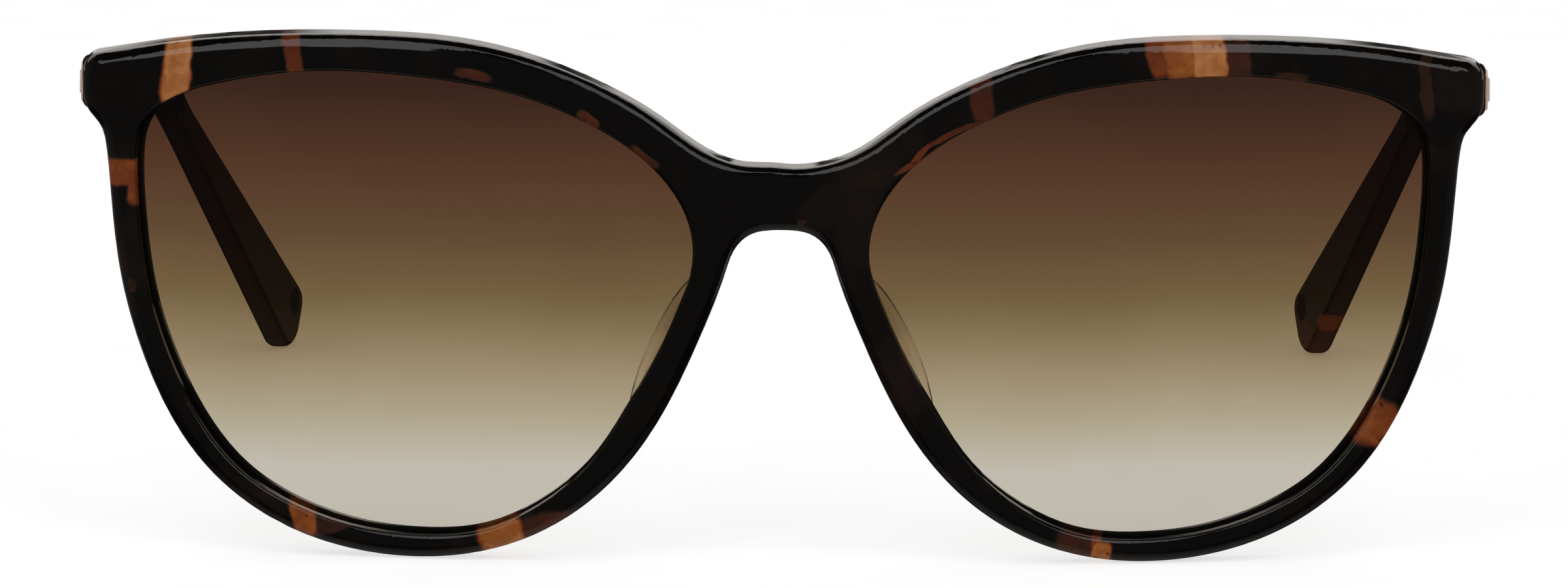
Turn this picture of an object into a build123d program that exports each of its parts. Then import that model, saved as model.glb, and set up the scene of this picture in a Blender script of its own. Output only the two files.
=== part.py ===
"""Cat eye sunglasses: acetate front, bevelled lenses, hinged temples with steel cores and metal side plaques.

Frame: millimetres, +Z up, +Y towards the ear tips, X across the face. The rims and the temple tips stand on
z = 0. The pieces are modelled with y = 0 at the frontmost point of the bent front, and then moved together so
that the origin is the middle of the footprint. Left and right are as worn: left is +X. Every left piece is
modelled, and its right partner is its mirror image.
"""

import os
from math import cos, radians, sin, sqrt, tan

from build123d import *

# --- Front: one milled slab, bent to a sphere -------------------------------------------------------------
BEND_RADIUS = 300.0  # of the outer face
BEND_HEIGHT = 27.0  # height of the frontmost point
SLAB = 4.0  # thickness of the front
BEND_CENTRE = Vector(0, BEND_RADIUS, BEND_HEIGHT)
ENDPIECE_X = 70.4  # half width of the front
OUTER_ROUND = 1.3
RIM_ROUND = 0.45  # round of the aperture's edges

# --- Lugs: the thick outer corners that carry the hinges --------------------------------------------------
LUG_BACK = 14.5  # flat face that the temple closes against
LUG_INNER_X = 58.6
LUG_FLANK = 3.2  # run of the sloping flank on the lug's inner side
LUG_BOTTOM = 43.5
LUG_TOP = 49.4
LUG_WALL = 0.9  # least distance from the lug to the aperture

# --- Lenses -----------------------------------------------------------------------------------------------
LENS_THICKNESS = 1.8
LENS_RECESS = 1.15  # lens face behind the front's face
LENS_SEAT = 0.6  # depth of the groove
LENS_BEVEL = 0.45

# --- Hinges -----------------------------------------------------------------------------------------------
HINGE_BOTTOM = 44.45
KNUCKLE_COUNT = 5
KNUCKLE_HEIGHT = 0.84
KNUCKLE_GAP = 0.05
KNUCKLE_RADIUS = 1.35
PITCH = KNUCKLE_HEIGHT + KNUCKLE_GAP
SHANK_RADIUS = 0.7
RUNNING_CLEARANCE = 0.04
AXIS_OFFSET = 1.7  # from the pin's axis to the lug's back face and to the temple's inner face
PLATE_THICKNESS = 0.8
WEB_HALF = 0.9
FRONT_PLATE_LENGTH = 3.8
TEMPLE_PLATE_LENGTH = 8.0
ANCHOR_RADIUS = 0.55
ANCHOR_DEPTH = 1.4
HEAD_RADIUS = 1.15
HEAD_HEIGHT = 0.3
SLOT_WIDTH = 0.3

# --- Temples ----------------------------------------------------------------------------------------------
TEMPLE_GAP = 0.05  # between lug and temple when open
TEMPLE_INNER_X = 66.5
HEAD_THICKNESS = 4.2
ARM_THICKNESS = 2.6
HEAD_TOP = LUG_TOP
HEAD_LOW = 43.9
EAR_BEND_Y = 100.0  # where the arm turns inwards
BEND_INNER_X = 66.1
TOE_IN = 17.5  # degrees that the ear piece turns inwards
TIP_BEYOND = 40.0
SIDE_BEND_RADIUS = 24.0
PLAN_BEND_RADIUS = 30.0
ARM_CORNER_ROUNDS = [0, SIDE_BEND_RADIUS, 2.2, 3.0, SIDE_BEND_RADIUS, 0]
ARM_ROUND = 0.85
CORE_THICKNESS = 1.0
CORE_HEIGHT = 1.5
CORE_START = 19.0
CORE_END_GAP = 8.0

# --- Trim -------------------------------------------------------------------------------------------------
PLAQUE_LENGTH = 15.0
PLAQUE_HEIGHT = 4.2
PLAQUE_START = 17.0
PLAQUE_PROUD = 0.4
PLAQUE_SUNK = 0.5
PLAQUE_PIN_RADIUS = 0.5
BAR_COUNT = 5
BAR_HEIGHT = 2.4
BAR_WIDTH = 0.8
BAR_PITCH = 2.3
BAR_PROUD = 0.35
INLAY_RADIUS = 1.5
INLAY_DEPTH = 0.7
INLAY_SPOT = (133.5, 5.0)  # side view

# --- Nose pads --------------------------------------------------------------------------------------------
PAD_ROOT = (10.6, 3.6, 20.8)
PAD_LEAN = 25.0  # degrees from upright, along the nasal side of the rim
PAD_SPLAY = 14.0  # degrees outwards from straight back
PAD_HALF_LENGTH = 9.0
PAD_DEPTH = 7.4
PAD_THICKNESS = 2.2

# Left half of the outline seen from straight ahead (x, z): bridge top, brow, endpiece, rim, nose arch
LEFT_OUTLINE = [(0, 40.3), (4, 40.5), (7, 41.5), (12, 44.85), (20, 49.1), (30, 52.1), (42, 52.95), (56, 52.3),
                (64, 51.15), (68.0, 50.4), (69.5, 49.95), (70.3, 48.9), (ENDPIECE_X, 47.3), (70.3, 45.6),
                (69.6, 44.2), (68.6, 43.0), (68.0, 41.0), (67.65, 37.7), (66.65, 28.6), (64.25, 19.8),
                (58.25, 9.05), (50.2, 2.95), (42.15, 0.45), (36.1, 0), (28, 1.25), (20, 5.4), (14, 11.7),
                (8, 23.2), (5.5, 29.8), (4.75, 31.8), (3.2, 33.4), (0, 33.95)]
LEFT_APERTURE = [(9.62, 27.8), (10.0, 36.4), (13.6, 40.85), (19.35, 44.55), (25.15, 46.9), (36.3, 48.9),
                 (48.9, 49.1), (57.1, 47.6), (61.85, 45.85), (64.2, 43.65), (65.05, 39.4), (64.8, 33.8),
                 (63.7, 26.05), (61.6, 19.5), (58.6, 13.55), (54.35, 8.4), (48.9, 5.0), (42.75, 3.0),
                 (36.5, 2.35), (30.05, 3.0), (24.2, 5.75), (19.25, 10.05), (15.8, 15.25), (12.5, 21.15)]
ARM_TOP_LINE = [(96.0, 37.1), (137.3, 5.2)]  # side view: ear bend and tip, upper edge
ARM_LOW_LINE = [(98.2, 31.6), (133.7, -1.93)]  # side view: ear bend and tip, lower edge

HEAD_START = LUG_BACK + TEMPLE_GAP
ARM_SLANT = ARM_THICKNESS / cos(radians(TOE_IN))
TIP_SHIFT = TIP_BEYOND * tan(radians(TOE_IN))
PLAN_INNER = [(TEMPLE_INNER_X, HEAD_START), (BEND_INNER_X, EAR_BEND_Y),
              (BEND_INNER_X - TIP_SHIFT, EAR_BEND_Y + TIP_BEYOND)]
PLAN_OUTER = [(TEMPLE_INNER_X + HEAD_THICKNESS, HEAD_START), (BEND_INNER_X + ARM_SLANT, EAR_BEND_Y),
              (BEND_INNER_X + ARM_SLANT - TIP_SHIFT, EAR_BEND_Y + TIP_BEYOND)]
AXIS_X = TEMPLE_INNER_X - AXIS_OFFSET
AXIS_Y = LUG_BACK + AXIS_OFFSET
HINGE_TOP = HINGE_BOTTOM + KNUCKLE_COUNT * PITCH - KNUCKLE_GAP


def other_side(shape):
    """The right partner of a left piece."""
    return mirror(shape, about=Plane.YZ)


def block(low, high):
    """A box between two opposite corners."""
    size = [high[i] - low[i] for i in range(3)]
    middle = [(high[i] + low[i]) / 2 for i in range(3)]
    return Pos(*middle) * Box(*size)


def ball(radius):
    """A ball about the centre that the front is bent around."""
    return Pos(BEND_CENTRE) * Sphere(radius)


def on_tangent_plane(point):
    """Where the ray from the bend's centre through a point (x, z) of the outer face meets its tangent plane."""
    x, z = point
    rise = z - BEND_HEIGHT
    stretch = BEND_RADIUS / sqrt(BEND_RADIUS**2 - x**2 - rise**2)
    return Vector(x * stretch, 0, BEND_HEIGHT + rise * stretch)


def grown(points, distance):
    """Closed outline points (x, z), listed clockwise, each moved outwards by a distance."""
    moved = []
    for index, (x, z) in enumerate(points):
        before = points[index - 1]
        after = points[(index + 1) % len(points)]
        run = Vector(after[0] - before[0], after[1] - before[1]).normalized()
        moved.append((x - run.Y * distance, z + run.X * distance))
    return moved


def aperture_cone(grow=0.0):
    """The left aperture's outline, grown sideways, carried towards the bend's centre."""
    points = [on_tangent_plane(point) for point in grown(LEFT_APERTURE, grow)]
    face = Face(Wire([Spline(points, periodic=True).edge()]))
    sections = [face.scale(factor, about=BEND_CENTRE) for factor in (1.02, 0.92)]
    return loft(sections, ruled=True)


def front_outline():
    """The front seen from straight ahead: one smooth closed curve, its right half the mirror of the left."""
    right = [(-x, z) for x, z in LEFT_OUTLINE[-2:0:-1]]
    curve = Spline([(x, 0, z) for x, z in LEFT_OUTLINE + right], periodic=True)
    return Face(Wire([curve.edge()]))


def lug_block():
    """The room that the left lug may fill: flat behind, sloping on its inner side, clear of the aperture."""
    plan = Polyline((LUG_INNER_X - LUG_FLANK, 0), (LUG_INNER_X - LUG_FLANK, LUG_BACK - LUG_FLANK),
                    (LUG_INNER_X, LUG_BACK), (ENDPIECE_X + 2, LUG_BACK), (ENDPIECE_X + 2, 0), close=True)
    prism = Pos(0, 0, LUG_BOTTOM) * extrude(make_face(plan), LUG_TOP - LUG_BOTTOM)
    return prism - aperture_cone(LUG_WALL)


def openings_of(body, place):
    """The edges of the two apertures on the front (place 0) or the back (place -1) face of the slab."""
    faces = [face for face in body.faces().filter_by(GeomType.SPHERE) if len(face.inner_wires()) == 2]
    face = ShapeList(faces).sort_by(Axis.Y)[place]
    return [edge for wire in face.inner_wires() for edge in wire.edges()]


def front_blank():
    """The bent front with its lugs, apertures and lens grooves, all its front edges rounded."""
    prism = extrude(front_outline(), LUG_BACK, dir=(0, 1, 0))
    lug = lug_block()
    hollow = ball(BEND_RADIUS - SLAB) - lug - other_side(lug)
    body = (prism & ball(BEND_RADIUS)) - hollow
    for tool in (aperture_cone(), lens_seat()):
        body = body - tool - other_side(tool)
    body = body.solids().sort_by(SortBy.VOLUME)[-1]
    face = body.faces().sort_by(Axis.Y)[0]
    body = body.fillet(OUTER_ROUND, face.outer_wire().edges())
    for place in (0, -1):
        body = body.fillet(RIM_ROUND, openings_of(body, place))
    return body


def lens_seat():
    """The room of the left lens and of the groove that holds it: a bent disc with a square edge."""
    shell = ball(BEND_RADIUS - LENS_RECESS) - ball(BEND_RADIUS - LENS_RECESS - LENS_THICKNESS)
    return (aperture_cone(LENS_SEAT) & shell).solids().sort_by(SortBy.VOLUME)[-1]


def lens():
    """The left lens, its edge bevelled on both faces."""
    seat = lens_seat()
    return seat.chamfer(LENS_BEVEL, None, seat.edges().filter_by(GeomType.BSPLINE))


def nose_pad():
    """The left pad: half an oval, standing on the back of the rim and leaning outwards."""
    lean = radians(PAD_LEAN)
    splay = radians(PAD_SPLAY)
    down = Vector(sin(lean), 0, -cos(lean))
    outwards = Vector(cos(lean), 0, sin(lean))
    back = Vector(0, 1, 0) * cos(splay) + outwards * sin(splay)
    plane = Plane(PAD_ROOT, x_dir=down, z_dir=down.cross(back))
    oval = Ellipse(PAD_HALF_LENGTH, PAD_DEPTH)
    pad = extrude(plane * oval, PAD_THICKNESS / 2, both=True)
    pad = pad.solids()[0].fillet(PAD_THICKNESS * 0.42, pad.edges().filter_by(GeomType.ELLIPSE))
    return (pad & ball(BEND_RADIUS - SLAB)).solids().sort_by(SortBy.VOLUME)[-1]


def knuckles(levels):
    """Knuckles of one hinge half, bored for the shank."""
    rings = []
    for level in levels:
        foot = HINGE_BOTTOM + level * PITCH
        rings.append(Pos(AXIS_X, AXIS_Y, foot) * extrude(Circle(KNUCKLE_RADIUS), KNUCKLE_HEIGHT))
    return rings


def webs(levels, low, high):
    """The arms that carry the knuckles: boxes between two corners (x, y), at each level."""
    arms = []
    for level in levels:
        foot = HINGE_BOTTOM + level * PITCH
        arms.append(block((*low, foot), (*high, foot + KNUCKLE_HEIGHT)))
    return arms


def shank_hole():
    """The bore through the whole hinge."""
    return Pos(AXIS_X, AXIS_Y, 0) * extrude(Circle(SHANK_RADIUS + RUNNING_CLEARANCE), 80)


def front_hinge():
    """Three knuckles on a plate that is sunk flush into the back of the left lug."""
    levels = range(0, KNUCKLE_COUNT, 2)
    plate_right = TEMPLE_INNER_X - 0.3
    plate = block((plate_right - FRONT_PLATE_LENGTH, LUG_BACK - PLATE_THICKNESS, HINGE_BOTTOM),
                  (plate_right, LUG_BACK, HINGE_TOP))
    half = plate
    for piece in webs(levels, (AXIS_X - WEB_HALF, LUG_BACK - 0.1), (AXIS_X + WEB_HALF, AXIS_Y)):
        half += piece
    for piece in knuckles(levels):
        half += piece
    for height in (HINGE_BOTTOM + 1.0, HINGE_TOP - 1.0):
        anchor = Plane((AXIS_X, LUG_BACK - PLATE_THICKNESS, height), z_dir=(0, -1, 0)) * Circle(ANCHOR_RADIUS)
        half += extrude(anchor, ANCHOR_DEPTH)
    return half - shank_hole()


def temple_hinge():
    """Two knuckles on a plate that is sunk flush into the inner face of the left temple."""
    levels = range(1, KNUCKLE_COUNT, 2)
    plate = block((TEMPLE_INNER_X, AXIS_Y - WEB_HALF, HINGE_BOTTOM),
                  (TEMPLE_INNER_X + PLATE_THICKNESS, AXIS_Y + TEMPLE_PLATE_LENGTH, HINGE_TOP - 1.0))
    half = plate
    for piece in webs(levels, (AXIS_X, AXIS_Y - WEB_HALF), (TEMPLE_INNER_X + 0.1, AXIS_Y + WEB_HALF)):
        half += piece
    for piece in knuckles(levels):
        half += piece
    for along in (AXIS_Y + 3.2, AXIS_Y + 6.6):
        spot = (TEMPLE_INNER_X + PLATE_THICKNESS, along, (HINGE_BOTTOM + HINGE_TOP - 1.0) / 2)
        half += extrude(Plane(spot, z_dir=(1, 0, 0)) * Circle(ANCHOR_RADIUS), ANCHOR_DEPTH / 2)
    return half - shank_hole()


def hinge_screw():
    """The left screw: a shank through all knuckles and a slotted head on top."""
    base = Pos(AXIS_X, AXIS_Y, HINGE_BOTTOM)
    length = HINGE_TOP - HINGE_BOTTOM
    shank = base * extrude(Circle(SHANK_RADIUS), length)
    head = Pos(0, 0, length) * base * extrude(Circle(HEAD_RADIUS), HEAD_HEIGHT)
    slot = block((AXIS_X - 2, AXIS_Y - SLOT_WIDTH / 2, HINGE_TOP + HEAD_HEIGHT / 2),
                 (AXIS_X + 2, AXIS_Y + SLOT_WIDTH / 2, HINGE_TOP + 1))
    return shank + head - slot


def arm_plan():
    """The left arm seen from above."""
    inner_line = FilletPolyline(*PLAN_INNER, radius=PLAN_BEND_RADIUS)
    outer_line = FilletPolyline(*PLAN_OUTER, radius=PLAN_BEND_RADIUS + ARM_THICKNESS)
    ends = [Line(inner_line @ 0, outer_line @ 0), Line(inner_line @ 1, outer_line @ 1)]
    return make_face([inner_line, outer_line] + ends)


def arm_side():
    """The left arm seen from the side, on the YZ plane, with its rounded tip."""
    corners = [(HEAD_START, HEAD_TOP)] + ARM_TOP_LINE + ARM_LOW_LINE[::-1] + [(HEAD_START, HEAD_LOW)]
    outline = FilletPolyline(*[(0, y, z) for y, z in corners], radius=ARM_CORNER_ROUNDS, close=True)
    return Face(Wire(outline.edges()))


def arm_blank():
    """The left arm, edges rounded, before anything is let into it."""
    side = extrude(arm_side(), 90, dir=(1, 0, 0))
    plan = Pos(0, 0, -5) * extrude(arm_plan(), 70)
    arm = (side & plan).solids()[0]
    edges = [edge for edge in arm.edges() if edge.center().Y > HEAD_START + 0.01]
    across = [edge for edge in edges if edge.length < HEAD_THICKNESS]
    return fillet([edge for edge in edges if edge not in across], ARM_ROUND)


def middle(first, second):
    """The point halfway between two."""
    return tuple((a + b) / 2 for a, b in zip(first, second))


ARM_MIDDLE = [middle((HEAD_START, HEAD_TOP), (HEAD_START, HEAD_LOW)), middle(ARM_TOP_LINE[0], ARM_LOW_LINE[0]),
              middle(ARM_TOP_LINE[1], ARM_LOW_LINE[1])]


def along(first, second, distance):
    """The point at a distance from the first point towards the second."""
    run = [b - a for a, b in zip(first, second)]
    length = sqrt(sum(part**2 for part in run))
    return tuple(a + part * distance / length for a, part in zip(first, run))


def core_wire():
    """The flat steel wire inside the left arm, along its middle from the hinge to near the tip."""
    start = along(ARM_MIDDLE[0], ARM_MIDDLE[1], CORE_START - HEAD_START)
    end = along(ARM_MIDDLE[2], ARM_MIDDLE[1], CORE_END_GAP)
    side_line = FilletPolyline(start, ARM_MIDDLE[1], end, radius=SIDE_BEND_RADIUS)
    side = extrude(Plane.YZ * trace(side_line, CORE_HEIGHT), 90)
    plan_points = [middle(inner, outer) for inner, outer in zip(PLAN_INNER, PLAN_OUTER)]
    plan_line = FilletPolyline(*plan_points, radius=PLAN_BEND_RADIUS + ARM_THICKNESS / 2)
    plan = Pos(0, 0, -5) * extrude(trace(plan_line, CORE_THICKNESS), 70)
    return (side & plan).solids()[0]


def plaque_plane():
    """The outer face of the left arm at the middle of its plaque: x along the arm, z outwards."""
    reach = PLAQUE_START + PLAQUE_LENGTH / 2
    height = along(ARM_MIDDLE[0], ARM_MIDDLE[1], reach - HEAD_START)[1]
    first, second = PLAN_OUTER[:2]
    share = (reach - first[1]) / (second[1] - first[1])
    spot = (first[0] + (second[0] - first[0]) * share, reach, height)
    drop = (ARM_MIDDLE[1][1] - ARM_MIDDLE[0][1]) / (ARM_MIDDLE[1][0] - ARM_MIDDLE[0][0])
    run = Vector((second[0] - first[0]) / (second[1] - first[1]), 1, drop)
    return Plane(spot, x_dir=run, z_dir=run.cross(Vector(0, 0, 1)))


def plaque():
    """The left metal plaque: a rounded plate let into the arm, with two pins behind it."""
    plane = plaque_plane()
    outline = plane * RectangleRounded(PLAQUE_LENGTH, PLAQUE_HEIGHT, 0.9)
    plate = extrude(outline, PLAQUE_PROUD) + extrude(outline, -PLAQUE_SUNK)
    rim = plate.faces().sort_by(Axis.X)[-1].edges()
    plate = chamfer(rim, 0.12)
    for side in (-1, 1):
        pin = plane * (Pos(side * PLAQUE_LENGTH * 0.36, 0, 0) * Circle(PLAQUE_PIN_RADIUS))
        plate += extrude(pin, -(PLAQUE_SUNK + 0.6))
    return plate


def plaque_emblem():
    """A row of plain raised bars on the left plaque."""
    plane = plaque_plane().offset(PLAQUE_PROUD)
    bars = []
    for index in range(BAR_COUNT):
        spot = (index - (BAR_COUNT - 1) / 2) * BAR_PITCH
        bar = extrude(plane * (Pos(spot, 0, 0) * Rectangle(BAR_WIDTH, BAR_HEIGHT)), BAR_PROUD)
        bars.append(chamfer(bar.faces().sort_by(Axis.X)[-1].edges(), 0.1))
    return Compound(children=bars)


def tip_inlay():
    """The small round disc let into the inner face of the left tip."""
    reach, height = INLAY_SPOT
    turn = radians(TOE_IN)
    spot = (BEND_INNER_X - (reach - EAR_BEND_Y) * tan(turn), reach, height)
    return extrude(Plane(spot, z_dir=(cos(turn), sin(turn), 0)) * Circle(INLAY_RADIUS), INLAY_DEPTH)


def without(body, *tools):
    """The largest solid left of a body once the tools are cut from it."""
    for tool in tools:
        body = body - tool
    return body.solids().sort_by(SortBy.VOLUME)[-1]


left = {
    "lens": lens(),
    "nose_pad": nose_pad(),
    "front_hinge": front_hinge(),
    "temple_hinge": temple_hinge(),
    "hinge_screw": hinge_screw(),
    "core_wire": core_wire(),
    "plaque": plaque(),
    "plaque_emblem": plaque_emblem(),
    "tip_inlay": tip_inlay(),
}
let_into_arm = [left[name] for name in ("temple_hinge", "core_wire", "plaque", "tip_inlay")]
left["temple"] = without(arm_blank(), *let_into_arm)
front = without(front_blank(), left["front_hinge"], other_side(left["front_hinge"]))

front_edge = front.bounding_box().min.Y
back_edge = left["temple"].bounding_box().max.Y
to_origin = Pos(0, -(front_edge + back_edge) / 2, 0)
print("moved back by", (front_edge + back_edge) / 2)

os.makedirs("parts", exist_ok=True)
export_step(to_origin * front, "parts/front_frame.step")
for name, piece in left.items():
    export_step(to_origin * piece, f"parts/{name}_left.step")
    export_step(to_origin * other_side(piece), f"parts/{name}_right.step")
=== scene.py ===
"""Cat eye sunglasses: finishes, floor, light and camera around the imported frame.

Metres, in the row frame: +X is the wearer's left, -Y the side that faces forward, +Z up.
Patterns are laid out in millimetres on the same axes.
"""

import math

import bpy
from mathutils import Matrix, Vector


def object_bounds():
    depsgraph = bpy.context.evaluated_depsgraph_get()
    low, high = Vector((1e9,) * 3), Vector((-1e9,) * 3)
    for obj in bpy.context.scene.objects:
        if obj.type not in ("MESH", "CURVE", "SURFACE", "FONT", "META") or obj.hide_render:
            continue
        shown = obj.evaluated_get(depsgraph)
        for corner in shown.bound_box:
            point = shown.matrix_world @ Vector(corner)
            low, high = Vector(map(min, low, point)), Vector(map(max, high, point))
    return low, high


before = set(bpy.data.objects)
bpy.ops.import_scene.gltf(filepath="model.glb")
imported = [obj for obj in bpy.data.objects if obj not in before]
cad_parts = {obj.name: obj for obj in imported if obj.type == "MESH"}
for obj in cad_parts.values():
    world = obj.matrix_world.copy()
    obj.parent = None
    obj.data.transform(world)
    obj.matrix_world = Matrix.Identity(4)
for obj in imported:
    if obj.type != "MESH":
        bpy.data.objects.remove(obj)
cad_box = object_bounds()

MM = 0.001

# Camera
SENSOR_WIDTH = 36.0
CAMERA_DISTANCE = 1.3
CAMERA_ELEVATION = math.radians(9.2)
CAMERA_AZIMUTH = math.radians(0.8)   # towards the wearer's left
PICTURE_WIDTH = 157.27 * MM          # what the image spans at the aim point
AIM = Vector((0.26, -63.4, 26.9)) * MM
CAMERA_ROLL = math.radians(0.24)

# World, white being 1: what the camera sees, what lights the pieces, and what polish mirrors
CAMERA_GLOW = 1.05
DOME_GLOW = 0.58
ROOM_GLOW = 0.02                     # the dark studio
ROOM_TINT = (1.0, 0.96, 0.91)
CARD_GLOW = 0.80                     # white card low behind the object
CARD_TOP = 0.106
MIDDLE_CARD_HALF = 0.050             # taller white card behind the bridge
MIDDLE_CARD_TOP = 0.20
STRIP_GLOW = 1.6                     # bright strip high behind
STRIP_BAND = (0.40, 0.75)
SIDE_GLOW = 0.10                     # dim walls at the sides
SIDE_BAND = (0.80, 1.10)
SIDE_HEIGHT = (-0.30, 0.60)
TIP_GLOW = 0.20                      # low behind, mirrored by the inner faces of the turned-in tips
TIP_BAND = (0.42, 0.72)
TIP_HEIGHT = (-0.36, -0.04)
GROUND_GLOW = 0.22                   # straight below
GROUND_FADE = (-0.95, -0.60)
FRONT_GLOW = 0.06                    # straight ahead
FRONT_FADE = (-0.90, -0.60)
BEHIND_FADE = (0.10, 0.40)

# Softboxes: two, mirrored left and right, in front of the object and above it
SOFTBOX_RADIANCE = 1.4
SOFTBOX_DISTANCE = 1.0
SOFTBOX_AZIMUTH = math.radians(29.0)
SOFTBOX_ELEVATION = math.radians(46.0)
SOFTBOX_SIZE = (0.40, 1.05)

# Floor
FLOOR_HALF = 6.0
FLOOR_GAP = 0.0001
FLOOR_GLOW = 0.70

# Acetate colours by level, linear
TORTOISE_STEPS = (
    (0.00, (0.0010, 0.0008, 0.0007)),
    (0.14, (0.0058, 0.0033, 0.0023)),
    (0.30, (0.0240, 0.0085, 0.0050)),
    (0.45, (0.0700, 0.0140, 0.0050)),
    (0.62, (0.1350, 0.0300, 0.0075)),
    (0.80, (0.2250, 0.0700, 0.0150)),
    (1.00, (0.3500, 0.1430, 0.0500)),
)

# Patches in the front: x, z, half width, half height in mm, turn in degrees, level in TORTOISE_STEPS
FRONT_PATCHES = (
    (-60.8, 49.6, 1.32, 4.6, -4, 0.98),
    (-49.2, 51.4, 0.80, 2.8, 9, 0.50),
    (-52.3, 53.4, 2.40, 0.8, 0, 0.28),
    (-66.0, 38.5, 2.60, 1.3, 0, 0.66),
    (-64.9, 37.1, 1.05, 2.1, 0, 0.66),
    (-65.4, 27.0, 0.36, 0.6, 0, 0.26),
    (-48.0, 3.9, 1.15, 2.3, 18, 0.72),
    (-45.3, 3.2, 2.30, 0.9, 20, 0.30),
    (-28.0, 2.6, 2.20, 2.3, 14, 0.86),
    (-23.2, 3.6, 3.60, 1.3, 10, 0.34),
    (-31.0, 49.2, 1.80, 0.5, -12, 0.40),
    (-19.4, 45.0, 1.30, 0.5, -30, 0.42),
    (-13.6, 41.4, 1.60, 0.40, -38, 0.37),
    (1.8, 34.8, 0.38, 0.30, 20, 0.27),
    (5.0, 36.8, 3.60, 1.8, 35, 0.10),
    (20.0, 47.6, 1.05, 2.5, 6, 0.38),
    (13.2, 41.2, 2.40, 0.28, 40, 0.50),
    (17.5, 43.8, 3.00, 0.28, 25, 0.44),
    (37.6, 51.6, 1.10, 2.2, 12, 0.60),
    (40.0, 51.4, 1.80, 2.5, 12, 0.80),
    (42.6, 51.2, 1.70, 2.8, 10, 1.00),
    (45.6, 51.0, 1.20, 2.4, 8, 0.34),
    (51.0, 49.2, 1.60, 0.5, -6, 0.30),
    (64.6, 48.6, 0.62, 3.6, 2, 0.27),
    (67.6, 47.6, 2.20, 2.2, 0, 0.13),
    (59.4, 14.0, 2.50, 2.3, -20, 0.68),
    (32.4, 0.9, 0.95, 1.2, -8, 0.84),
    (31.9, 2.4, 0.55, 1.5, 0, 0.58),
    (29.6, 1.9, 2.00, 1.9, 0, 0.34),
)

# Patches along the arms: y, z, half length, half height in mm, turn in degrees, level
ARM_PATCHES = (
    (-36.0, 46.5, 3.2, 4.0, 14, 0.84),
    (-24.5, 45.5, 1.6, 3.5, 6, 0.42),
    (-4.0, 43.5, 4.4, 2.6, -17, 0.92),
    (8.5, 44.0, 1.4, 3.0, 11, 0.40),
    (24.0, 39.5, 2.2, 4.5, 17, 0.62),
)
ARM_PATCHES_AND_TIP_GLOW_LEFT = ARM_PATCHES + (
    # painted light: the next two patches paint the amber glow of light shining through the acetate around
    # the tip inlay
    (58.4, 4.0, 1.5, 1.1, 0, 0.74),
    (63.0, 0.6, 6.5, 3.2, 0, 0.42),
)
ARM_PATCHES_RIGHT = ARM_PATCHES + (
    (44.0, 22.0, 3.6, 2.4, 17, 0.30),
)
PATCH_POWER = 3.0                    # squareness of a patch: 2 is an ellipse
PATCH_FADE = (2.0, 0.55)             # where a patch begins and where it is full
WARP = 1.5                           # how far the pattern wanders, in mm
CLOUD_LEVEL = 0.18
STREAKS = (0.86, 1.04)
SPOT_LEVEL = 0.55
POLISH = (0.035, 0.065)              # roughness from and to
ARM_GROUND = 0.25                    # least level of the arms' ground along TORTOISE_STEPS

# Share of red, green and blue light that the lens lets through, by height in mm
LENS_TINT = (
    (5.0, (0.580, 0.550, 0.470)),
    (9.5, (0.560, 0.520, 0.440)),
    (14.0, (0.450, 0.400, 0.280)),
    (20.0, (0.330, 0.250, 0.150)),
    (26.5, (0.180, 0.120, 0.055)),
    (33.0, (0.120, 0.067, 0.032)),
    (40.0, (0.088, 0.038, 0.019)),
    (48.0, (0.042, 0.017, 0.010)),
)


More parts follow.
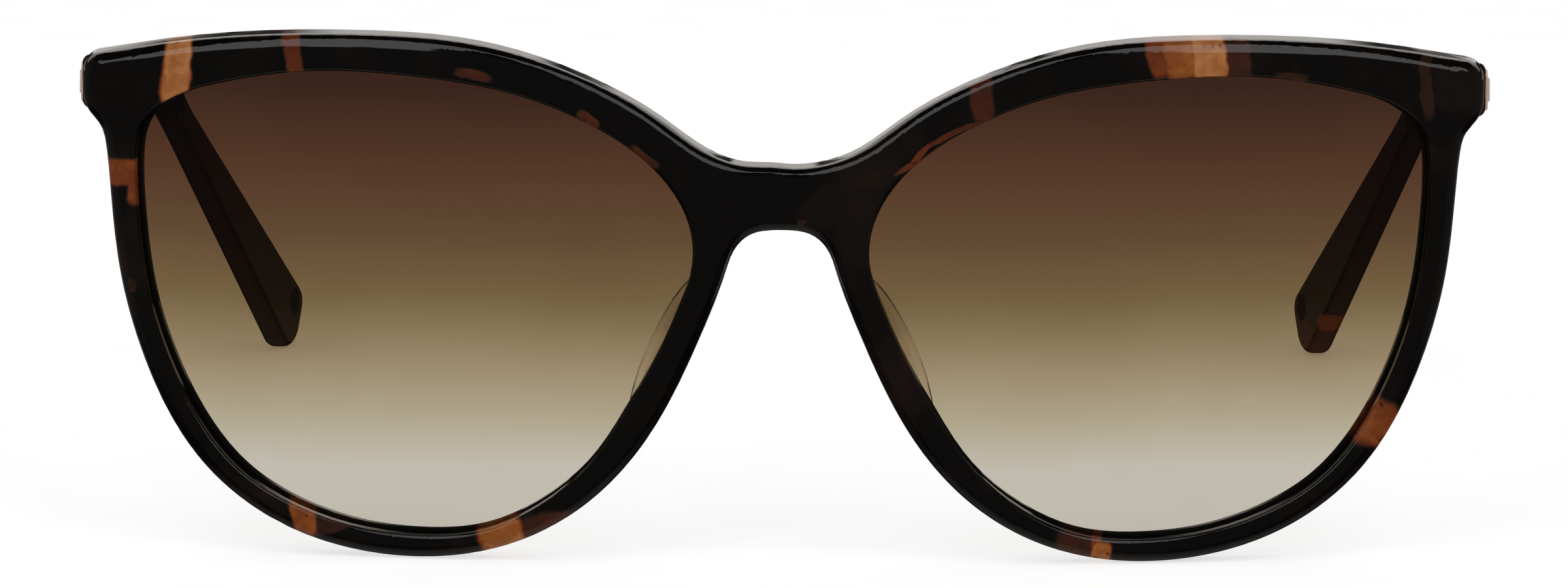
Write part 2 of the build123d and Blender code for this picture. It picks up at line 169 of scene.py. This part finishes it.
class Finish:
    """A material and short calls for the nodes that the finishes share."""

    def __init__(self, name):
        self.material = bpy.data.materials.new(name)
        self.material.use_nodes = True
        self.tree = self.material.node_tree
        self.tree.nodes.clear()
        self.surface = self.node("ShaderNodeOutputMaterial").inputs["Surface"]

    def node(self, kind, **settings):
        made = self.tree.nodes.new(kind)
        for key, value in settings.items():
            setattr(made, key, value)
        return made

    def put(self, socket, value):
        """Links value to socket if it is a socket, and else sets it."""
        if isinstance(value, bpy.types.NodeSocket):
            self.tree.links.new(value, socket)
        elif isinstance(value, (tuple, list)) and socket.type == "RGBA":
            socket.default_value = (*value[:3], 1.0)
        else:
            socket.default_value = value

    def place(self, scale=1000.0):
        """Where the point is on the object, in millimetres, or times another scale."""
        where = self.node("ShaderNodeTexCoord").outputs["Object"]
        return self.vector("SCALE", where, scale=scale)

    def vector(self, operation, a, b=None, scale=None):
        made = self.node("ShaderNodeVectorMath", operation=operation)
        self.put(made.inputs[0], a)
        if b is not None:
            self.put(made.inputs[1], b)
        if scale is not None:
            self.put(made.inputs["Scale"], scale)
        return made.outputs[0]

    def split(self, vector):
        made = self.node("ShaderNodeSeparateXYZ")
        self.put(made.inputs[0], vector)
        return made.outputs[0], made.outputs[1], made.outputs[2]

    def math(self, operation, *values):
        made = self.node("ShaderNodeMath", operation=operation)
        for socket, value in zip(made.inputs, values):
            self.put(socket, value)
        return made.outputs[0]

    def smooth(self, value, low, high, out_low=0.0, out_high=1.0):
        """Goes from out_low to out_high as value goes from low to high, with soft ends."""
        made = self.node("ShaderNodeMapRange", interpolation_type="SMOOTHSTEP")
        for socket, number in zip(made.inputs, (value, low, high, out_low, out_high)):
            self.put(socket, number)
        return made.outputs[0]

    def noise(self, vector, scale, detail=2.0, roughness=0.5, colour=False):
        made = self.node("ShaderNodeTexNoise")
        self.put(made.inputs["Vector"], vector)
        self.put(made.inputs["Scale"], scale)
        self.put(made.inputs["Detail"], detail)
        self.put(made.inputs["Roughness"], roughness)
        return made.outputs["Color" if colour else "Fac"]

    def steps(self, value, stops):
        """A colour ramp through stops of (position, linear colour)."""
        made = self.node("ShaderNodeValToRGB")
        ramp = made.color_ramp
        ramp.elements[0].position = stops[0][0]
        ramp.elements[0].color = (*stops[0][1], 1.0)
        ramp.elements[1].position = stops[-1][0]
        ramp.elements[1].color = (*stops[-1][1], 1.0)
        for position, colour in stops[1:-1]:
            ramp.elements.new(position).color = (*colour, 1.0)
        self.put(made.inputs[0], value)
        return made.outputs["Color"]

    def mix(self, factor, a, b):
        made = self.node("ShaderNodeMix", data_type="RGBA")
        self.put(made.inputs[0], factor)
        self.put(made.inputs[6], a)
        self.put(made.inputs[7], b)
        return made.outputs[2]

    def bump(self, height, strength, distance):
        made = self.node("ShaderNodeBump")
        self.put(made.inputs["Height"], height)
        self.put(made.inputs["Strength"], strength)
        self.put(made.inputs["Distance"], distance)
        return made.outputs["Normal"]

    def principled(self, **values):
        made = self.node("ShaderNodeBsdfPrincipled")
        for name, value in values.items():
            self.put(made.inputs[name.replace("_", " ")], value)
        self.put(self.surface, made.outputs[0])


def patch_level(finish, across, up, patches):
    """The level that the listed patches give: the strongest one wins."""
    level = 0.0
    for centre, height, half_width, half_height, turn, strength in patches:
        turn = math.radians(turn)
        run = finish.math("SUBTRACT", across, centre)
        rise = finish.math("SUBTRACT", up, height)
        sideways = finish.math(
            "MULTIPLY_ADD", rise, math.sin(turn), finish.math("MULTIPLY", run, math.cos(turn))
        )
        upward = finish.math(
            "MULTIPLY_ADD", run, -math.sin(turn), finish.math("MULTIPLY", rise, math.cos(turn))
        )
        wide = finish.math("DIVIDE", finish.math("ABSOLUTE", sideways), half_width)
        high = finish.math("DIVIDE", finish.math("ABSOLUTE", upward), half_height)
        wide = finish.math("POWER", wide, PATCH_POWER)
        high = finish.math("POWER", high, PATCH_POWER)
        mask = finish.smooth(finish.math("ADD", wide, high), *PATCH_FADE, 0.0, strength)
        level = finish.math("MAXIMUM", level, mask)
    return level


def tortoise(name, patches, across_axis, ground_level=0.0):
    """Polished dark tortoise acetate: black ground, brown clouds, and amber patches; on the left arm two
    of the patches are a painted glow of light at the tip.
    """
    finish = Finish(name)
    place = finish.place()
    warp = finish.noise(place, 0.22, 3.0, 0.55, colour=True)
    warp = finish.vector("SUBTRACT", warp, (0.5, 0.5, 0.5))
    bent = finish.vector("ADD", place, finish.vector("SCALE", warp, scale=WARP))
    x, y, z = finish.split(bent)
    across = x if across_axis == "x" else y
    clouds = finish.noise(bent, 0.11, 3.0, 0.6)
    clouds = finish.smooth(clouds, 0.42, 0.72, 0.0, CLOUD_LEVEL)
    haze = finish.noise(place, 0.045, 2.0, 0.5)
    haze = finish.smooth(haze, 0.40, 0.70, 0.25, 1.0)
    ground = finish.math("MULTIPLY", clouds, haze)
    patches = patch_level(finish, across, z, patches)
    streaks = finish.noise(bent, 0.55, 2.0, 0.6)
    streaks = finish.smooth(streaks, 0.30, 0.70, *STREAKS)
    spots = finish.noise(place, 0.85, 1.0, 0.5)
    spots = finish.smooth(spots, 0.66, 0.76, 1.0, SPOT_LEVEL)
    patches = finish.math("MULTIPLY", patches, finish.math("MULTIPLY", streaks, spots))
    ground = finish.math("MAXIMUM", ground, ground_level)
    level = finish.math("MAXIMUM", ground, patches)
    colour = finish.steps(level, TORTOISE_STEPS)
    polish = finish.noise(place, 0.35, 2.0, 0.5)
    roughness = finish.smooth(polish, 0.30, 0.70, *POLISH)
    waviness = finish.noise(place, 0.16, 1.0, 0.5)
    finish.principled(
        Base_Color=colour,
        Roughness=roughness,
        IOR=1.5,
        Normal=finish.bump(waviness, 0.12, 0.00005),
    )
    return finish.material


def tinted_lens(name):
    """A polished sun lens, brown at the top and nearly clear at the bottom."""
    finish = Finish(name)
    z = finish.split(finish.place())[2]
    mottle = finish.noise(finish.place(), 0.06, 2.0, 0.5)
    z = finish.math("ADD", z, finish.smooth(mottle, 0.3, 0.7, -0.35, 0.35))
    low, high = LENS_TINT[0][0], LENS_TINT[-1][0]
    along = finish.math("DIVIDE", finish.math("SUBTRACT", z, low), high - low)
    # light crosses two faces, so each takes the root of the whole tint
    stops = [
        ((height - low) / (high - low), tuple(math.sqrt(share) for share in colour))
        for height, colour in LENS_TINT
    ]
    clear = finish.node("ShaderNodeBsdfTransparent")
    finish.put(clear.inputs["Color"], finish.steps(along, stops))
    gloss = finish.node("ShaderNodeBsdfGlossy")
    gloss.inputs["Roughness"].default_value = 0.02
    backfacing = finish.node("ShaderNodeNewGeometry").outputs["Backfacing"]
    outside = finish.math("SUBTRACT", 1.0, backfacing)
    fresnel = finish.node("ShaderNodeFresnel")
    fresnel.inputs["IOR"].default_value = 1.5
    shine = finish.math("MULTIPLY", fresnel.outputs[0], outside)
    both = finish.node("ShaderNodeMixShader")
    finish.put(both.inputs[0], shine)
    finish.put(both.inputs[1], clear.outputs[0])
    finish.put(both.inputs[2], gloss.outputs[0])
    finish.put(finish.surface, both.outputs[0])
    return finish.material


def clear_pad(name):
    """Clear polished acetate with a faint warm cast."""
    finish = Finish(name)
    place = finish.place()
    cast = finish.smooth(finish.noise(place, 0.3, 2.0), 0.3, 0.7)
    finish.principled(
        Base_Color=finish.mix(cast, (0.93, 0.90, 0.84), (0.97, 0.95, 0.91)),
        Roughness=finish.smooth(finish.noise(place, 0.9, 2.0), 0.3, 0.7, 0.06, 0.12),
        IOR=1.34,
        Transmission_Weight=1.0,
    )
    return finish.material


def metal(name, light, dark, low, high, grain, metallic=1.0):
    """Metal with fine drawn lines along Y and an uneven tone; metallic below 1 is a satin coating."""
    finish = Finish(name)
    place = finish.place()
    tone = finish.smooth(finish.noise(place, 0.6, 3.0), 0.3, 0.7)
    lines = finish.noise(finish.vector("MULTIPLY", place, (9.0, 0.6, 9.0)), 1.0, 2.0)
    finish.principled(
        Base_Color=finish.mix(tone, dark, light),
        Metallic=metallic,
        Roughness=finish.smooth(lines, 0.3, 0.7, low, high),
        Normal=finish.bump(lines, grain, 0.00002),
    )
    return finish.material


def shade_dark_plastic(name):
    """Satin moulding with a fine grain, near-black as painted shade: its darkness stands in for the shade
    inside the bore at the tip.
    """
    finish = Finish(name)
    place = finish.place()
    grain = finish.noise(place, 6.0, 2.0, 0.6)
    tone = finish.smooth(finish.noise(place, 0.7, 2.0), 0.3, 0.7)
    finish.principled(
        Base_Color=finish.mix(tone, (0.0015, 0.0014, 0.0015), (0.0040, 0.0032, 0.0030)),
        Roughness=finish.smooth(grain, 0.3, 0.7, 0.45, 0.60),
        Specular_IOR_Level=0.25,
        Normal=finish.bump(grain, 0.2, 0.00003),
    )
    return finish.material


def dress(obj, material):
    obj.data.materials.clear()
    obj.data.materials.append(material)


def lamp(name, place, aim, size, strength):
    """A soft rectangular lamp at place, turned towards aim."""
    data = bpy.data.lights.new(name, "AREA")
    data.shape = "RECTANGLE"
    data.size, data.size_y = size
    data.energy = strength
    made = bpy.data.objects.new(name, data)
    made.location = place
    made.rotation_euler = (aim - place).to_track_quat("-Z", "Y").to_euler()
    bpy.context.scene.collection.objects.link(made)


# ---- finishes ----
finishes = {
    "front_frame": tortoise("tortoise_front", FRONT_PATCHES, "x"),
    # the left arm's patches include a painted glow of light at the tip
    "temple_left": tortoise("tortoise_arm_left", ARM_PATCHES_AND_TIP_GLOW_LEFT, "y", ARM_GROUND),
    "temple_right": tortoise("tortoise_arm_right", ARM_PATCHES_RIGHT, "y", ARM_GROUND),
    "lens": tinted_lens("tinted_lens"),
    "nose_pad": clear_pad("clear_pad"),
    "front_hinge": metal("hinge_steel", (0.62, 0.60, 0.58), (0.50, 0.48, 0.46), 0.20, 0.34, 0.2),
    "hinge_screw": metal("screw_steel", (0.70, 0.69, 0.67), (0.58, 0.57, 0.55), 0.14, 0.24, 0.1),
    "core_wire": metal("core_steel", (0.55, 0.54, 0.52), (0.46, 0.45, 0.44), 0.30, 0.42, 0.2),
    "plaque": metal("rose_gold", (0.93, 0.70, 0.59), (0.86, 0.61, 0.50), 0.36, 0.48, 0.1, 0.6),
    "plaque_emblem": metal("rose_gold_bars", (1.00, 0.88, 0.80), (0.95, 0.79, 0.70), 0.24, 0.34, 0.1, 0.6),
    # painted shade: the tip inlay's near-black stands in for the shade inside the bore at the tip
    "tip_inlay": shade_dark_plastic("inlay_dark"),
}
finishes["temple_hinge"] = finishes["front_hinge"]
for name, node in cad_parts.items():
    kind = name.removesuffix("_left").removesuffix("_right")
    dress(node, finishes[name] if name in finishes else finishes[kind])

# ---- floor ----
floor_mesh = bpy.data.meshes.new("floor")
floor_corners = [(-1, -1), (1, -1), (1, 1), (-1, 1)]
floor_mesh.from_pydata(
    [(x * FLOOR_HALF, y * FLOOR_HALF, 0.0) for x, y in floor_corners],
    [],
    [(0, 1, 2, 3)],
)
floor = bpy.data.objects.new("floor", floor_mesh)
bpy.context.scene.collection.objects.link(floor)
floor.location.z = cad_box[0][2] - FLOOR_GAP
floor_finish = Finish("pale_floor")
grain = floor_finish.smooth(floor_finish.noise(floor_finish.place(1.0), 90.0, 2.0), 0.3, 0.7)
floor_finish.principled(
    Base_Color=floor_finish.mix(grain, (0.42, 0.42, 0.42), (0.44, 0.44, 0.44)),
    Roughness=0.9,
    Specular_IOR_Level=0.0,
    Emission_Color=(1.0, 1.0, 1.0),
    Emission_Strength=FLOOR_GLOW,
)
dress(floor, floor_finish.material)
floor.visible_glossy = False

# ---- light ----
def studio_world():
    """White for the camera and soft white for shading. Mirrored in polish it is a studio: white cards
    low and high behind the object, dim sides and floor, and a dark room in front."""
    world = bpy.data.worlds.new("studio")
    world.use_nodes = True
    tree = world.node_tree
    tree.nodes.clear()

    def add(kind, **settings):
        made = tree.nodes.new(kind)
        for key, value in settings.items():
            setattr(made, key, value)
        return made

    def join(output, socket):
        tree.links.new(output, socket)

    def ramp(value, low, high, out_low, out_high):
        """Goes from out_low to out_high as value goes from low to high, with soft ends."""
        made = add("ShaderNodeMapRange", interpolation_type="SMOOTHSTEP")
        join(value, made.inputs[0])
        for socket, number in zip(list(made.inputs)[1:5], (low, high, out_low, out_high)):
            socket.default_value = number
        return made.outputs[0]

    def pair(operation, a, b):
        made = add("ShaderNodeMath", operation=operation)
        join(a, made.inputs[0])
        join(b, made.inputs[1])
        return made.outputs[0]

    def times(a, b):
        return pair("MULTIPLY", a, b)

    def largest(first, *others):
        for other in others:
            first = pair("MAXIMUM", first, other)
        return first

    def mixed(factor, a, b):
        made = add("ShaderNodeMixShader")
        join(factor, made.inputs[0])
        join(a, made.inputs[1])
        join(b, made.inputs[2])
        return made.outputs[0]

    def light(strength, colour=(1.0, 1.0, 1.0)):
        made = add("ShaderNodeBackground")
        made.inputs["Color"].default_value = (*colour, 1.0)
        if isinstance(strength, bpy.types.NodeSocket):
            join(strength, made.inputs["Strength"])
        else:
            made.inputs["Strength"].default_value = strength
        return made.outputs[0]

    def band(value, low, high, edge, glow):
        """glow where value is from low to high, and nothing beyond the soft edges."""
        rise = ramp(value, low - edge, low, 0.0, glow)
        fall = ramp(value, high, high + edge, 1.0, 0.0)
        return times(rise, fall)

    def both_sides(value, low, high, edge, glow):
        """The same band on either side of the middle."""
        return largest(band(value, low, high, edge, glow), band(value, -high, -low, edge, glow))

    parts = add("ShaderNodeSeparateXYZ")
    join(add("ShaderNodeTexCoord").outputs["Generated"], parts.inputs[0])
    x, y, z = parts.outputs
    behind = ramp(y, *BEHIND_FADE, 0.0, 1.0)
    card = times(behind, band(z, 0.0, CARD_TOP, 0.012, CARD_GLOW))
    middle = band(x, -MIDDLE_CARD_HALF, MIDDLE_CARD_HALF, 0.02, 1.0)
    middle_card = times(behind, times(middle, band(z, 0.0, MIDDLE_CARD_TOP, 0.05, CARD_GLOW)))
    strip = times(behind, band(z, *STRIP_BAND, 0.05, STRIP_GLOW))
    tip_sides = both_sides(x, *TIP_BAND, 0.06, TIP_GLOW)
    tips = times(behind, times(tip_sides, band(z, *TIP_HEIGHT, 0.04, 1.0)))
    walls = both_sides(x, *SIDE_BAND, 0.25, SIDE_GLOW)
    sides = times(walls, band(z, *SIDE_HEIGHT, 0.20, 1.0))
    ground = ramp(z, *GROUND_FADE, GROUND_GLOW, 0.0)
    front = ramp(y, *FRONT_FADE, FRONT_GLOW, 0.0)
    lit = largest(card, middle_card, strip, sides, ground, front, tips)
    room = add("ShaderNodeMath", operation="ADD")
    join(lit, room.inputs[0])
    room.inputs[1].default_value = ROOM_GLOW
    mirrored = light(room.outputs[0], ROOM_TINT)
    path = add("ShaderNodeLightPath")
    choice = mixed(path.outputs["Is Glossy Ray"], light(DOME_GLOW), mirrored)
    choice = mixed(path.outputs["Is Camera Ray"], choice, light(CAMERA_GLOW))
    join(choice, add("ShaderNodeOutputWorld").inputs["Surface"])
    bpy.context.scene.world = world


studio_world()
softbox_power = SOFTBOX_RADIANCE * math.pi * SOFTBOX_SIZE[0] * SOFTBOX_SIZE[1]
softbox_reach = SOFTBOX_DISTANCE * math.cos(SOFTBOX_ELEVATION)
softbox_height = SOFTBOX_DISTANCE * math.sin(SOFTBOX_ELEVATION)
for side in (-1, 1):
    azimuth = side * SOFTBOX_AZIMUTH
    offset = (softbox_reach * math.sin(azimuth), -softbox_reach * math.cos(azimuth), softbox_height)
    lamp("softbox", AIM + Vector(offset), AIM, SOFTBOX_SIZE, softbox_power)

# ---- camera ----
camera_data = bpy.data.cameras.new("camera")
camera_data.sensor_width = SENSOR_WIDTH
camera_data.lens = SENSOR_WIDTH * CAMERA_DISTANCE / PICTURE_WIDTH
camera_data.clip_start = 0.01
camera_data.clip_end = 50.0
camera = bpy.data.objects.new("camera", camera_data)
away = Vector((0.0, -math.cos(CAMERA_ELEVATION), math.sin(CAMERA_ELEVATION)))
turn = Matrix.Rotation(CAMERA_AZIMUTH, 4, "Z")
tilt = Matrix.Rotation(math.pi / 2 - CAMERA_ELEVATION, 4, "X")
camera.location = AIM + CAMERA_DISTANCE * (turn @ away)
camera.rotation_euler = (turn @ tilt @ Matrix.Rotation(CAMERA_ROLL, 4, "Z")).to_euler()
bpy.context.scene.collection.objects.link(camera)
bpy.context.scene.camera = camera
bpy.context.scene.view_settings.view_transform = "Standard"
